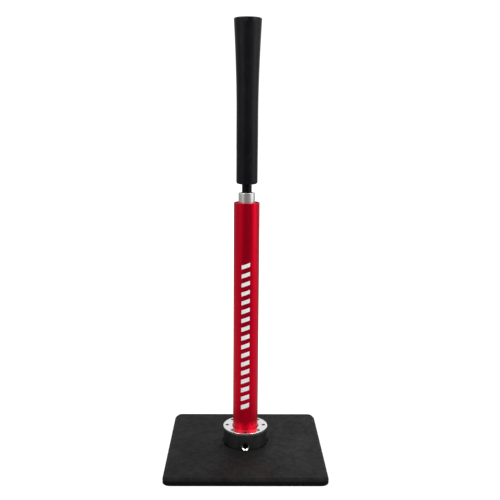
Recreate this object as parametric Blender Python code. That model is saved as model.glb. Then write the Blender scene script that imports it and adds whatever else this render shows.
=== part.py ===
"""Batting tee: a weighted square base, a post clamped in a hub, two telescoping stages and a rubber cone.

Metres, +Z up, and the front of the tee faces -Y. The origin is the middle of the base's underside.
All pieces of the post are turned about one upright axis, at POST, just behind the middle of the base.
Heights are measured from the floor with both telescoping stages pushed right down.
"""

import math

import bmesh
import bpy
from mathutils import Matrix, Vector

# ---------------------------------------------------------------- driving dimensions
GAP = 0.0003            # left between pieces that touch or fit
SLIDE_GAP = 0.00035     # radial clearance of a sliding fit
POST = Vector((0.0, 0.0092, 0.0))

# Base
BASE_SIDE = 0.254
BASE_THICKNESS = 0.0119
BASE_CORNER = 0.0125
BASE_BEVEL = 0.0045
RIM_WIDTH = 0.011       # rubber left round the pocket underneath
STEEL_THICKNESS = 0.006
SOLE_THICKNESS = 0.0014
WELL_RADIUS = 0.0382    # round well in the slab, where the hub stands

# Hub and its silver ring
HUB_RADIUS = 0.0362
HUB_TOP = 0.0368
HUB_FLOOR = 0.004
RING_RADIUS = 0.0368
RING_THICKNESS = 0.003
RING_SCREWS = 8
RING_SCREW_CIRCLE = 0.0304
RING_SCREW_RADIUS = 0.0015
RING_SCREW_HEAD = 0.00275
RING_SCREW_LENGTH = 0.0095
RING_SCREW_SUNK = 0.00035
RING_SCREW_SOCKET = 0.0022
RING_TAP_DEPTH = 0.0085
RING_LEAD = 0.0012      # bevel at the top of the ring's bore
HUB_BOLTS = 4
HUB_BOLT_CIRCLE = 0.0288
HUB_BOLT_RADIUS = 0.003
HUB_BOLT_HEAD = 0.0058
HUB_BOLT_LENGTH = 0.022
HUB_BOLT_SOCKET = 0.004
HUB_BOLT_TURN = math.radians(22.5)   # puts the bolts between the ring's screws
HEAD_EDGE = 0.0003      # upright edge of a countersunk head
PAST = 0.001            # how far a drill runs past the face it enters

# Set screw that clamps the outer tube, in a cross hole at the front of the hub
SET_HEIGHT = 0.0173
SET_HOLE_RADIUS = 0.005
SET_CHAMFER = 0.0014
SET_SCREW_LENGTH = 0.009
SET_TIP_LENGTH = 0.0022
SET_TIP_RADIUS = 0.0034
SET_SOCKET = 0.005      # across the flats of its socket, and the socket's depth

# Tubes and shaft
OUTER_RADIUS = 0.020725
OUTER_WALL = 0.002
OUTER_TOP = 0.4166
MIDDLE_RADIUS = 0.01345
MIDDLE_WALL = 0.003
MIDDLE_TOP = 0.4322
SHAFT_RADIUS = 0.0079
MIDDLE_TRAVEL = 0.230   # lift of the middle tube out of the outer tube
SHAFT_TRAVEL = 0.210    # lift of the shaft out of the middle tube

# Cone
CONE_BOTTOM = 0.4455
CONE_TOP = 0.69925
CONE_RADIUS = 0.0171
CONE_MOUTH = 0.0218
CONE_FLARE_START = 0.560
CONE_FLARE_POWER = 1.7
CONE_BORE = 0.0124
CONE_WALL = 0.0042

# Facets round each kind of piece
FINE = 48
ROUND = 40
INNER = 24
SMALL = 12
CORNER_STEPS = 6

# ---------------------------------------------------------------- levels worked out from the above
POCKET_TOP = SOLE_THICKNESS + GAP + STEEL_THICKNESS + GAP
STEEL_BOTTOM = SOLE_THICKNESS + GAP
STEEL_TOP = STEEL_BOTTOM + STEEL_THICKNESS
HUB_BOTTOM = STEEL_TOP + GAP
RING_BOTTOM = HUB_TOP + GAP
RING_TOP = RING_BOTTOM + RING_THICKNESS
OUTER_BOTTOM = HUB_BOTTOM + HUB_FLOOR + GAP
OUTER_BORE = OUTER_RADIUS - OUTER_WALL
MIDDLE_BORE = MIDDLE_RADIUS - MIDDLE_WALL
OUTER_FIT = OUTER_BORE - GAP        # radius of a piece fixed inside the outer tube
MIDDLE_FIT = MIDDLE_BORE - GAP      # radius of a piece fixed inside the middle tube
OUTER_SLIDE = OUTER_BORE - SLIDE_GAP
MIDDLE_SLIDE = MIDDLE_BORE - SLIDE_GAP

PLUG_HEIGHT = 0.0174
BUMPER_HEIGHT = 0.0034
VENT_RADIUS = 0.004                 # air way down the middle of the plug and the bumper
PLUG_BOTTOM = OUTER_BOTTOM + GAP
BUMPER_BOTTOM = PLUG_BOTTOM + PLUG_HEIGHT + GAP
MIDDLE_PISTON_BOTTOM = BUMPER_BOTTOM + BUMPER_HEIGHT + GAP
MIDDLE_PISTON_HEIGHT = 0.036
MIDDLE_PISTON_FLOOR = 0.003
MIDDLE_BOTTOM = MIDDLE_PISTON_BOTTOM + MIDDLE_PISTON_FLOOR + GAP
PIN_RADIUS = 0.0015
PIN_HEIGHT = MIDDLE_BOTTOM + 0.009  # clear of the tube's end by three pin diameters
SHAFT_PISTON_BOTTOM = PIN_HEIGHT + PIN_RADIUS + GAP
SHAFT_PISTON_HEIGHT = 0.032
SHAFT_SOCKET_DEPTH = 0.010
SHAFT_BOTTOM = SHAFT_PISTON_BOTTOM + SHAFT_PISTON_HEIGHT - SHAFT_SOCKET_DEPTH + GAP

BUSH_RECESS = 0.0015                # the outer guide bush sits this far below the tube's rim
OUTER_BUSH_HEIGHT = 0.046
MIDDLE_BUSH_HEIGHT = 0.040
OUTER_BUSH_TOP = OUTER_TOP - BUSH_RECESS
OUTER_BUSH_BOTTOM = OUTER_BUSH_TOP - OUTER_BUSH_HEIGHT
MIDDLE_BUSH_TOP = MIDDLE_TOP - GAP
MIDDLE_BUSH_BOTTOM = MIDDLE_BUSH_TOP - MIDDLE_BUSH_HEIGHT
GRIP_HEIGHT = 0.0036
OUTER_STOP_BOTTOM = MIDDLE_PISTON_BOTTOM + MIDDLE_PISTON_HEIGHT + MIDDLE_TRAVEL + GAP
MIDDLE_STOP_BOTTOM = SHAFT_PISTON_BOTTOM + SHAFT_PISTON_HEIGHT + SHAFT_TRAVEL + GAP

ADAPTER_BOTTOM = CONE_BOTTOM + 0.0005
ADAPTER_TOP = 0.560
ADAPTER_LID = 0.005
SHAFT_TOP = ADAPTER_TOP - ADAPTER_LID - GAP
M6_RADIUS = 0.003
M6_HEAD = 0.005
M6_HEAD_HEIGHT = 0.006
M6_SOCKET = 0.005
M6_SOCKET_DEPTH = 0.003
M6_GRIP = 0.014                     # length of thread in the shaft
M6_TAP_DEPTH = 0.016
WASHER_THICKNESS = 0.0012
PISTON_RECESS = 0.0085              # counterbore under the shaft's piston for its screw


# ---------------------------------------------------------------- tools
def material(name, colour, roughness, metallic=0.0):
    made = bpy.data.materials.new(name)
    made.use_nodes = True
    made.diffuse_color = (*colour, 1.0)
    shader = made.node_tree.nodes["Principled BSDF"]
    shader.inputs["Base Color"].default_value = (*colour, 1.0)
    shader.inputs["Roughness"].default_value = roughness
    shader.inputs["Metallic"].default_value = metallic
    return made


def group(name, parent=None):
    """An empty on the post's axis, which carries the pieces of one moving stage."""
    empty = bpy.data.objects.new(name, None)
    bpy.context.scene.collection.objects.link(empty)
    empty.parent = parent
    if parent is None:
        empty.location = POST
    return empty


def place(name, mesh, look, parent, at=(0.0, 0.0, 0.0), turn=(0.0, 0.0, 0.0)):
    """Link one named piece to the scene, under the empty that carries it."""
    piece = bpy.data.objects.new(name, mesh)
    bpy.context.scene.collection.objects.link(piece)
    if not mesh.materials:
        mesh.materials.append(look)
    piece.parent = parent
    piece.location = at
    piece.rotation_euler = turn
    return piece


def face_out(bm):
    """Make the faces of one closed body agree and point out."""
    bmesh.ops.recalc_face_normals(bm, faces=bm.faces)
    if bm.calc_volume(signed=True) < 0.0:
        bmesh.ops.reverse_faces(bm, faces=bm.faces)


def to_mesh(bm, name):
    """Turn a bmesh into a smooth-shaded mesh whose faces point out."""
    bmesh.ops.remove_doubles(bm, verts=bm.verts, dist=1e-7)
    face_out(bm)
    mesh = bpy.data.meshes.new(name)
    bm.to_mesh(mesh)
    bm.free()
    mesh.shade_smooth()
    mesh.set_sharp_from_angle(angle=math.radians(30.0))
    return mesh


def spin_outline(bm, outline, steps, matrix=None):
    """Turn (radius, height) points about Z. An outline that starts and ends on the axis makes a plug."""
    verts = [bm.verts.new((radius, 0.0, height)) for radius, height in outline]
    edges = [bm.edges.new(pair) for pair in zip(verts, verts[1:])]
    if outline[0][0] > 0.0:
        edges.append(bm.edges.new((verts[-1], verts[0])))
    bmesh.ops.spin(
        bm, geom=verts + edges, cent=(0, 0, 0), axis=(0, 0, 1), angle=math.tau, steps=steps, use_merge=True
    )
    bmesh.ops.remove_doubles(bm, verts=bm.verts, dist=1e-7)
    if matrix is not None:
        bm.transform(matrix)


def turned(name, outline, look, parent, steps=INNER):
    """One piece turned about the post's axis."""
    bm = bmesh.new()
    spin_outline(bm, outline, steps)
    return place(name, to_mesh(bm, name), look, parent)


def drills(name, outline, places, parent, steps=SMALL):
    """One hidden cutter that holds the same turned drill at each of the given matrices."""
    whole = bmesh.new()
    scrap = bpy.data.meshes.new(name + "_one")
    for matrix in places:
        one = bmesh.new()
        spin_outline(one, outline, steps, matrix)
        face_out(one)
        one.to_mesh(scrap)
        one.free()
        whole.from_mesh(scrap)
    bpy.data.meshes.remove(scrap)
    mesh = bpy.data.meshes.new(name)
    whole.to_mesh(mesh)
    whole.free()
    return hidden_cutter(name, mesh, parent)


def hidden_cutter(name, mesh, parent):
    cutter = bpy.data.objects.new(name, mesh)
    bpy.context.scene.collection.objects.link(cutter)
    cutter.parent = parent
    cutter.hide_render = True
    cutter.display_type = "WIRE"
    return cutter


def cut(piece, cutter):
    modifier = piece.modifiers.new("cut_" + cutter.name, "BOOLEAN")
    modifier.operation = "DIFFERENCE"
    modifier.object = cutter


def stacked(bm, loops):
    """Skin a pile of loops that have the same number of points, and close both ends."""
    rows = [[bm.verts.new(point) for point in loop] for loop in loops]
    count = len(rows[0])
    for below, above in zip(rows, rows[1:]):
        for i in range(count):
            j = (i + 1) % count
            bm.faces.new((below[i], below[j], above[j], above[i]))
    bm.faces.new(rows[0])
    bm.faces.new(rows[-1])


def circle(radius, height, steps=SMALL):
    return [
        (radius * math.cos(math.tau * i / steps), radius * math.sin(math.tau * i / steps), height)
        for i in range(steps)
    ]


def hexagon(across_flats, height, steps=SMALL):
    """A hexagon walked in as many points as a circle, with corners among them."""
    points = []
    for i in range(steps):
        angle = math.tau * i / steps
        off_flat = angle % (math.pi / 3) - math.pi / 6
        reach = across_flats / 2 / math.cos(off_flat)
        points.append((reach * math.cos(angle), reach * math.sin(angle), height))
    return points


def rounded_square(side, corner, height):
    """A square loop with round corners, about the origin."""
    points = []
    inner = side / 2 - corner
    for quarter, (sx, sy) in enumerate(((1, 1), (-1, 1), (-1, -1), (1, -1))):
        for step in range(CORNER_STEPS + 1):
            angle = math.radians(90 * quarter + 90 * step / CORNER_STEPS)
            x = sx * inner + corner * math.cos(angle)
            y = sy * inner + corner * math.sin(angle)
            points.append((x, y, height))
    return points


def tube_outline(bore, radius, low, high, chamfer=0.0004):
    """Closed outline of a plain ring or tube, its four edges broken unless the chamfer is 0."""
    c = chamfer
    if c == 0.0:
        return [(bore, low), (radius, low), (radius, high), (bore, high)]
    return [
        (bore + c, low), (radius - c, low), (radius, low + c), (radius, high - c),
        (radius - c, high), (bore + c, high), (bore, high - c), (bore, low + c),
    ]


def arc(centre, radius, start, end, steps):
    """Points of an arc about a (radius, height) centre, angles in degrees, 0 pointing outwards."""
    points = []
    for i in range(steps + 1):
        angle = math.radians(start + (end - start) * i / steps)
        points.append((centre[0] + radius * math.cos(angle), centre[1] + radius * math.sin(angle)))
    return points


def socket_screw_mesh(name, outline, across_flats, depth, steps=SMALL):
    """A screw that points down -Z, its top at height 0 with a hexagon socket, from a tip to top outline."""
    bm = bmesh.new()
    loops = [circle(radius, height, steps) for radius, height in outline]
    loops.append(hexagon(across_flats, 0.0, steps))
    loops.append(hexagon(across_flats, -depth, steps))
    stacked(bm, loops)
    return to_mesh(bm, name)


def countersunk_outline(radius, head, length):
    """Outline of a countersunk screw, tip to top."""
    return [
        (radius * 0.8, -length), (radius, -length + radius * 0.2), (radius, -HEAD_EDGE - (head - radius)),
        (head, -HEAD_EDGE), (head, 0.0),
    ]


def countersink_outline(radius, head, sunk, depth):
    """Drill for a countersunk screw whose top lies sunk below the face, which is at height 0."""
    hole = radius + GAP
    mouth = head + GAP
    return [
        (0.0, -depth - PAST), (hole, -depth - PAST), (hole, -sunk - HEAD_EDGE - (mouth - hole)),
        (mouth, -sunk - HEAD_EDGE), (mouth, PAST), (0.0, PAST),
    ]


def cap_outline(radius, head, head_height, length):
    """Outline of a cap screw, tip to top. Its length is under the head."""
    edge = 0.0004
    return [
        (radius * 0.8, -head_height - length), (radius, -head_height - length + radius * 0.2),
        (radius, -head_height), (head, -head_height), (head, -edge), (head - edge, 0.0),
    ]


def round_the_circle(count, radius, height, first=0.0):
    """Matrices at equal angles on a circle about the post, each turned to face out."""
    return [
        Matrix.Rotation(math.tau * i / count + first, 4, "Z") @ Matrix.Translation((radius, 0.0, height))
        for i in range(count)
    ]


# ---------------------------------------------------------------- base
def make_base_slab(look, parent):
    """Moulded rubber slab: soft-edged top bevel, a pocket underneath and a round well for the hub."""
    b = BASE_BEVEL
    top = BASE_THICKNESS
    edge = top - b
    soft = 0.0008
    levels = [
        (soft, 0.0), (0.0, soft), (0.0, edge - soft / 2), (soft / 3, edge + soft / 3),
        (b - soft, top - soft * 0.75), (b - soft / 8, top - soft / 5), (b + soft, top),
    ]
    bm = bmesh.new()
    stacked(bm, [rounded_square(BASE_SIDE - 2 * inset, BASE_CORNER - inset, z) for inset, z in levels])
    slab = place("base_slab", to_mesh(bm, "base_slab"), look, None)

    pocket_side = BASE_SIDE - 2 * RIM_WIDTH
    bm = bmesh.new()
    stacked(bm, [rounded_square(pocket_side, BASE_CORNER / 2, z) for z in (-PAST, POCKET_TOP)])
    cut(slab, hidden_cutter("pocket_cutter", to_mesh(bm, "pocket_cutter"), None))

    lip = top - soft * 0.75
    above = top + PAST
    mouth = WELL_RADIUS + above - lip
    well = [(0.0, -PAST), (WELL_RADIUS, -PAST), (WELL_RADIUS, lip), (mouth, above), (0.0, above)]
    bm = bmesh.new()
    spin_outline(bm, well, FINE)
    cut(slab, hidden_cutter("well_cutter", to_mesh(bm, "well_cutter"), parent))


def make_steel_plate(look, parent):
    """Steel weight in the slab's pocket, countersunk from below for the hub's bolts."""
    side = BASE_SIDE - 2 * RIM_WIDTH - 2 * GAP
    bm = bmesh.new()
    stacked(bm, [rounded_square(side, BASE_CORNER / 2 - GAP, z) for z in (STEEL_BOTTOM, STEEL_TOP)])
    plate = place("steel_plate", to_mesh(bm, "steel_plate"), look, None)
    outline = countersink_outline(HUB_BOLT_RADIUS, HUB_BOLT_HEAD, GAP, STEEL_THICKNESS)
    flip = Matrix.Rotation(math.pi, 4, "X")
    places = [m @ flip for m in round_the_circle(HUB_BOLTS, HUB_BOLT_CIRCLE, STEEL_BOTTOM, HUB_BOLT_TURN)]
    cut(plate, drills("plate_drills", outline, places, parent))


def make_sole_mat(look):
    """Non-slip sheet bonded under the steel, flush with the slab's rim."""
    side = BASE_SIDE - 2 * RIM_WIDTH - 2 * GAP
    bm = bmesh.new()
    stacked(bm, [rounded_square(side, BASE_CORNER / 2 - GAP, z) for z in (0.0, SOLE_THICKNESS)])
    place("sole_mat", to_mesh(bm, "sole_mat"), look, None)


def make_hub_bolts(look, parent):
    """Countersunk bolts up through the steel plate into the hub."""
    outline = countersunk_outline(HUB_BOLT_RADIUS, HUB_BOLT_HEAD, HUB_BOLT_LENGTH)
    mesh = socket_screw_mesh("hub_bolt", outline, HUB_BOLT_SOCKET, HUB_BOLT_SOCKET / 2)
    for i in range(HUB_BOLTS):
        angle = math.tau * i / HUB_BOLTS + HUB_BOLT_TURN
        at = (HUB_BOLT_CIRCLE * math.cos(angle), HUB_BOLT_CIRCLE * math.sin(angle), STEEL_BOTTOM + GAP)
        place(f"hub_bolt_{i + 1}", mesh, look, parent, at, (math.pi, 0.0, angle))


# ---------------------------------------------------------------- hub
def make_hub(look, parent):
    """Black hub: a blind bore for the tube, tapped holes above and below, and the set screw's cross hole."""
    bore = OUTER_RADIUS + GAP
    floor = HUB_BOTTOM + HUB_FLOOR
    c = 0.0005
    outline = [
        (0.0, HUB_BOTTOM), (HUB_RADIUS - c, HUB_BOTTOM), (HUB_RADIUS, HUB_BOTTOM + c),
        (HUB_RADIUS, HUB_TOP - c), (HUB_RADIUS - c, HUB_TOP), (bore, HUB_TOP), (bore, floor), (0.0, floor),
    ]
    hub = turned("hub", outline, look, parent, FINE)

    hole = RING_SCREW_RADIUS + GAP
    tapped = [(0.0, -RING_TAP_DEPTH), (hole, -RING_TAP_DEPTH), (hole, PAST), (0.0, PAST)]
    places = round_the_circle(RING_SCREWS, RING_SCREW_CIRCLE, HUB_TOP)
    cut(hub, drills("hub_top_drills", tapped, places, parent))

    hole = HUB_BOLT_RADIUS + GAP
    depth = HUB_BOLT_LENGTH - STEEL_THICKNESS + 1.5 * PAST
    tapped = [(0.0, -PAST), (hole, -PAST), (hole, depth), (0.0, depth)]
    places = round_the_circle(HUB_BOLTS, HUB_BOLT_CIRCLE, HUB_BOTTOM, HUB_BOLT_TURN)
    cut(hub, drills("hub_bottom_drills", tapped, places, parent))

    r = SET_HOLE_RADIUS
    end = HUB_RADIUS + PAST
    mouth = r + SET_CHAMFER + PAST
    cross = [(0.0, bore - PAST), (r, bore - PAST), (r, end - (mouth - r)), (mouth, end), (0.0, end)]
    outwards = Matrix.Translation((0.0, 0.0, SET_HEIGHT)) @ Matrix.Rotation(math.radians(90), 4, "X")
    cut(hub, drills("hub_cross_drill", cross, [outwards], parent, INNER))


def make_clamp_ring(look, parent):
    """Silver ring on the hub, countersunk for its screws, with a bevelled bore round the tube."""
    bore = OUTER_RADIUS + GAP
    lead = RING_LEAD
    c = 0.0003
    outline = [
        (bore, RING_BOTTOM), (RING_RADIUS - c, RING_BOTTOM), (RING_RADIUS, RING_BOTTOM + c),
        (RING_RADIUS, RING_TOP - c), (RING_RADIUS - c, RING_TOP),
        (bore + lead, RING_TOP), (bore, RING_TOP - lead),
    ]
    ring = turned("clamp_ring", outline, look, parent, FINE)
    drill = countersink_outline(RING_SCREW_RADIUS, RING_SCREW_HEAD, RING_SCREW_SUNK, RING_THICKNESS)
    places = round_the_circle(RING_SCREWS, RING_SCREW_CIRCLE, RING_TOP)
    cut(ring, drills("ring_drills", drill, places, parent))


def make_ring_screws(look, parent):
    """Countersunk screws, just below the ring's face."""
    outline = countersunk_outline(RING_SCREW_RADIUS, RING_SCREW_HEAD, RING_SCREW_LENGTH)
    mesh = socket_screw_mesh("ring_screw", outline, RING_SCREW_SOCKET, RING_SCREW_SOCKET / 2)
    top = RING_TOP - RING_SCREW_SUNK
    for i in range(RING_SCREWS):
        angle = math.tau * i / RING_SCREWS
        at = (RING_SCREW_CIRCLE * math.cos(angle), RING_SCREW_CIRCLE * math.sin(angle), top)
        place(f"ring_screw_{i + 1}", mesh, look, parent, at, (0.0, 0.0, angle * 1.3))


def make_set_screw(steel, brass, carrier):
    """Set screw in the hub's cross hole, and the brass pad at its tip that bears on the tube."""
    towards_front = (math.radians(90), 0.0, 0.0)
    tip_end = OUTER_RADIUS + GAP
    tip_head = tip_end + SET_TIP_LENGTH
    r = SET_HOLE_RADIUS - GAP
    c = 0.0005
    bm = bmesh.new()
    tip = SET_TIP_RADIUS
    profile = [(tip, 0.0), (tip, SET_TIP_LENGTH - c), (tip - c, SET_TIP_LENGTH)]
    stacked(bm, [circle(radius, height, INNER) for radius, height in profile])
    place("set_screw_tip", to_mesh(bm, "set_screw_tip"), brass, carrier, (0.0, -tip_end, 0.0), towards_front)
    outline = [(r - 2 * c, -SET_SCREW_LENGTH), (r, -SET_SCREW_LENGTH + 2 * c), (r, -c), (r - c, 0.0)]
    mesh = socket_screw_mesh("set_screw", outline, SET_SOCKET, SET_SOCKET, INNER)
    head = tip_head + GAP + SET_SCREW_LENGTH
    place("set_screw", mesh, steel, carrier, (0.0, -head, 0.0), towards_front)


# ---------------------------------------------------------------- fixed pieces of the post
def make_outer_tube(look, parent):
    outline = tube_outline(OUTER_BORE, OUTER_RADIUS, OUTER_BOTTOM, OUTER_TOP, 0.0005)
    turned("outer_tube", outline, look, parent, FINE)


def make_foot_plug(look, parent):
    """Plug that backs the outer tube's wall where the set screw bears, with a vent down its middle."""
    outline = tube_outline(VENT_RADIUS, OUTER_FIT, PLUG_BOTTOM, PLUG_BOTTOM + PLUG_HEIGHT, 0.0)
    turned("foot_plug", outline, look, parent)


def make_foot_bumper(look, parent):
    """Rubber washer that the middle stage lands on."""
    outline = tube_outline(VENT_RADIUS, OUTER_FIT - 0.001, BUMPER_BOTTOM, BUMPER_BOTTOM + BUMPER_HEIGHT, 0.0)
    turned("foot_bumper", outline, look, parent)


def make_mouth_pieces(stage, bore, fit, slide, bush_bottom, bush_top, stop_bottom, looks, parent):
    """The guide bush, rubber grip ring and stop tube that share the mouth of one tube."""
    plastic, rubber, stop = looks
    turned(f"{stage}_guide_bush", tube_outline(bore, fit, bush_bottom, bush_top), plastic, parent, ROUND)
    grip_top = bush_bottom - GAP
    grip_bottom = grip_top - GRIP_HEIGHT
    turned(f"{stage}_grip_ring", tube_outline(bore, fit, grip_bottom, grip_top, 0.0), rubber, parent)
    outline = tube_outline(slide, fit, stop_bottom, grip_bottom - GAP, 0.0)
    turned(f"{stage}_stop_tube", outline, stop, parent)


# ---------------------------------------------------------------- middle stage
def grooved_outline(bore_points, radius, low, high, grooves, width, depth=None):
    """Outline of a piston: its bore's points, then its outside with grooves, square unless a depth is given."""
    c = 0.0004
    depth = depth or width
    points = list(bore_points)
    points += [(radius - c, low), (radius, low + c)]
    for middle in grooves:
        points += [
            (radius, middle - width / 2), (radius - depth, middle - width / 2),
            (radius - depth, middle + width / 2), (radius, middle + width / 2),
        ]
    points += [(radius, high - c), (radius - c, high)]
    return points


def make_rings(names, radius, section, heights, look, parent):
    """Round-section rubber rings that fill a piston's grooves."""
    for name, height in zip(names, heights):
        turned(name, arc((radius, height), section, 0, 300, 5), look, parent, 16)


def make_middle_tube(look, parent):
    """Silver telescoping tube, cross-drilled near its foot for the piston's pin."""
    outline = tube_outline(MIDDLE_BORE, MIDDLE_RADIUS, MIDDLE_BOTTOM, MIDDLE_TOP, 0.0006)
    tube = turned("middle_tube", outline, look, parent, ROUND)
    cut(tube, cross_drill("middle_tube_drill", PIN_RADIUS + GAP, parent))


def cross_drill(name, radius, parent):
    """Cutter that runs right across the post at the pin's height."""
    reach = OUTER_RADIUS
    outline = [(0.0, -reach), (radius, -reach), (radius, reach), (0.0, reach)]
    across = Matrix.Translation((0.0, 0.0, PIN_HEIGHT)) @ Matrix.Rotation(math.radians(90), 4, "Y")
    return drills(name, outline, [across], parent)


def make_middle_piston(plastic, rubber, steel, parent):
    """Guide cup pinned to the middle tube's foot, with two rubber rings that run in the outer tube."""
    low = MIDDLE_PISTON_BOTTOM
    high = low + MIDDLE_PISTON_HEIGHT
    floor = low + MIDDLE_PISTON_FLOOR
    cup = MIDDLE_RADIUS + GAP
    bore = [(cup, high), (cup, floor), (VENT_RADIUS, floor), (VENT_RADIUS, low)]
    heights = [high - 0.014, high - 0.006]
    section = 0.0011
    groove = 2 * (section + GAP)
    outline = grooved_outline(bore, OUTER_SLIDE, low, high, heights, groove)
    piston = turned("middle_piston", outline, plastic, parent)
    cut(piston, cross_drill("middle_piston_drill", PIN_RADIUS + GAP, parent))
    names = ["middle_piston_ring_1", "middle_piston_ring_2"]
    make_rings(names, OUTER_SLIDE - section, section, heights, rubber, parent)

    half = OUTER_SLIDE - 0.0012
    c = 0.0003
    bm = bmesh.new()
    ends = [(PIN_RADIUS - c, -half), (PIN_RADIUS, -half + c), (PIN_RADIUS, half - c), (PIN_RADIUS - c, half)]
    stacked(bm, [circle(radius, height) for radius, height in ends])
    mesh = to_mesh(bm, "middle_piston_pin")
    place("middle_piston_pin", mesh, steel, parent, (0.0, 0.0, PIN_HEIGHT), (0.0, math.radians(90), 0.0))


# ---------------------------------------------------------------- shaft stage
def make_shaft_piston(plastic, rubber, parent):
    """Guide plug at the shaft's foot. The shaft turns in its socket, held by a screw from below."""
    low = SHAFT_PISTON_BOTTOM
    high = low + SHAFT_PISTON_HEIGHT
    socket = SHAFT_RADIUS + GAP
    shelf = high - SHAFT_SOCKET_DEPTH
    hole = M6_RADIUS + GAP
    counterbore = M6_HEAD + 0.0006
    ceiling = low + PISTON_RECESS
    bore = [(socket, high), (socket, shelf), (hole, shelf), (hole, ceiling)]
    bore += [(counterbore, ceiling), (counterbore, low)]
    heights = [ceiling + 0.004, ceiling + 0.009]
    section = 0.0009
    groove = 2 * (section + GAP)
    outline = grooved_outline(bore, MIDDLE_SLIDE, low, high, heights, groove)
    turned("shaft_piston", outline, plastic, parent)
    names = ["shaft_piston_ring_1", "shaft_piston_ring_2"]
    make_rings(names, MIDDLE_SLIDE - section, section, heights, rubber, parent)


def make_inner_shaft(look, parent):
    """Black shaft, tapped at both ends."""
    hole = M6_RADIUS + GAP
    depth = M6_TAP_DEPTH
    c = 0.0008
    outline = [
        (0.0, SHAFT_BOTTOM + depth), (hole, SHAFT_BOTTOM + depth), (hole, SHAFT_BOTTOM),
        (SHAFT_RADIUS - c, SHAFT_BOTTOM), (SHAFT_RADIUS, SHAFT_BOTTOM + c), (SHAFT_RADIUS, SHAFT_TOP - c),
        (SHAFT_RADIUS - c, SHAFT_TOP), (hole, SHAFT_TOP), (hole, SHAFT_TOP - depth), (0.0, SHAFT_TOP - depth),
    ]
    turned("inner_shaft", outline, look, parent, ROUND)


def make_shaft_fixings(steel, parent):
    """A washer and a cap screw at each end of the shaft: the piston's below, the adapter's above."""
    washer = WASHER_THICKNESS
    hole = M6_RADIUS + GAP
    wide = M6_HEAD + washer

    low = SHAFT_PISTON_BOTTOM + PISTON_RECESS - GAP - washer
    turned("shaft_piston_washer", tube_outline(hole, M6_HEAD, low, low + washer, 0.0), steel, parent, SMALL)
    outline = cap_outline(M6_RADIUS, M6_HEAD, M6_HEAD_HEIGHT, SHAFT_BOTTOM + M6_GRIP - low)
    mesh = socket_screw_mesh("shaft_piston_screw", outline, M6_SOCKET, M6_SOCKET_DEPTH)
    at = (0.0, 0.0, low - GAP - M6_HEAD_HEIGHT)
    place("shaft_piston_screw", mesh, steel, parent, at, (math.pi, 0.0, 0.0))

    low = ADAPTER_TOP + GAP
    turned("adapter_washer", tube_outline(hole, wide, low, low + washer, 0.0), steel, parent, SMALL)
    outline = cap_outline(M6_RADIUS, M6_HEAD, M6_HEAD_HEIGHT, low + washer + GAP - (SHAFT_TOP - M6_GRIP))
    mesh = socket_screw_mesh("adapter_screw", outline, M6_SOCKET, M6_SOCKET_DEPTH)
    place("adapter_screw", mesh, steel, parent, (0.0, 0.0, low + washer + GAP + M6_HEAD_HEIGHT))


def make_cone_adapter(look, parent):
    """Plastic core that caps the shaft and fills the lower half of the cone, grooved to hold the rubber."""
    radius = CONE_BORE - GAP
    socket = SHAFT_RADIUS + GAP
    hole = M6_RADIUS + GAP
    lid = ADAPTER_TOP - ADAPTER_LID
    bore = [(hole, ADAPTER_TOP), (hole, lid), (socket, lid), (socket, ADAPTER_BOTTOM)]
    grooves = [ADAPTER_BOTTOM + 0.030 * step for step in (1, 3)]
    outline = grooved_outline(bore, radius, ADAPTER_BOTTOM, ADAPTER_TOP, grooves, 0.004, 0.0008)
    turned("cone_adapter", outline, look, parent)


def cone_reach(height):
    """Outer radius of the cone: straight below, then a trumpet flare up to the mouth."""
    rise = max(0.0, (height - CONE_FLARE_START) / (CONE_TOP - CONE_FLARE_START))
    return CONE_RADIUS + (CONE_MOUTH - CONE_RADIUS) * rise ** CONE_FLARE_POWER


def make_ball_cone(look, parent):
    """Flexible rubber cone, open at the top: the ball sits on its rim."""
    foot = 0.0042
    lip = 0.0016
    steps = 7
    outline = [(CONE_BORE, CONE_BOTTOM)]
    outline += arc((CONE_RADIUS - foot, CONE_BOTTOM + foot), foot, -90, 0, 4)
    rim_base = CONE_TOP - lip
    flare = [CONE_FLARE_START + (rim_base - CONE_FLARE_START) * i / steps for i in range(steps + 1)]
    outline += [(cone_reach(height), height) for height in flare]
    reach = cone_reach(rim_base)
    outline += arc((reach - lip, rim_base), lip, 30, 90, 2)
    inside = reach - CONE_WALL
    outline += arc((inside + lip, rim_base), lip, 90, 150, 2)
    slack = CONE_RADIUS - CONE_WALL - CONE_BORE
    for height in reversed(flare[1:]):
        outline.append((cone_reach(height) - CONE_WALL, height))
    outline += [(CONE_BORE + slack, CONE_FLARE_START - 0.010), (CONE_BORE, CONE_FLARE_START - 0.014)]
    turned("ball_cone", outline, look, parent, ROUND)


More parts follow.
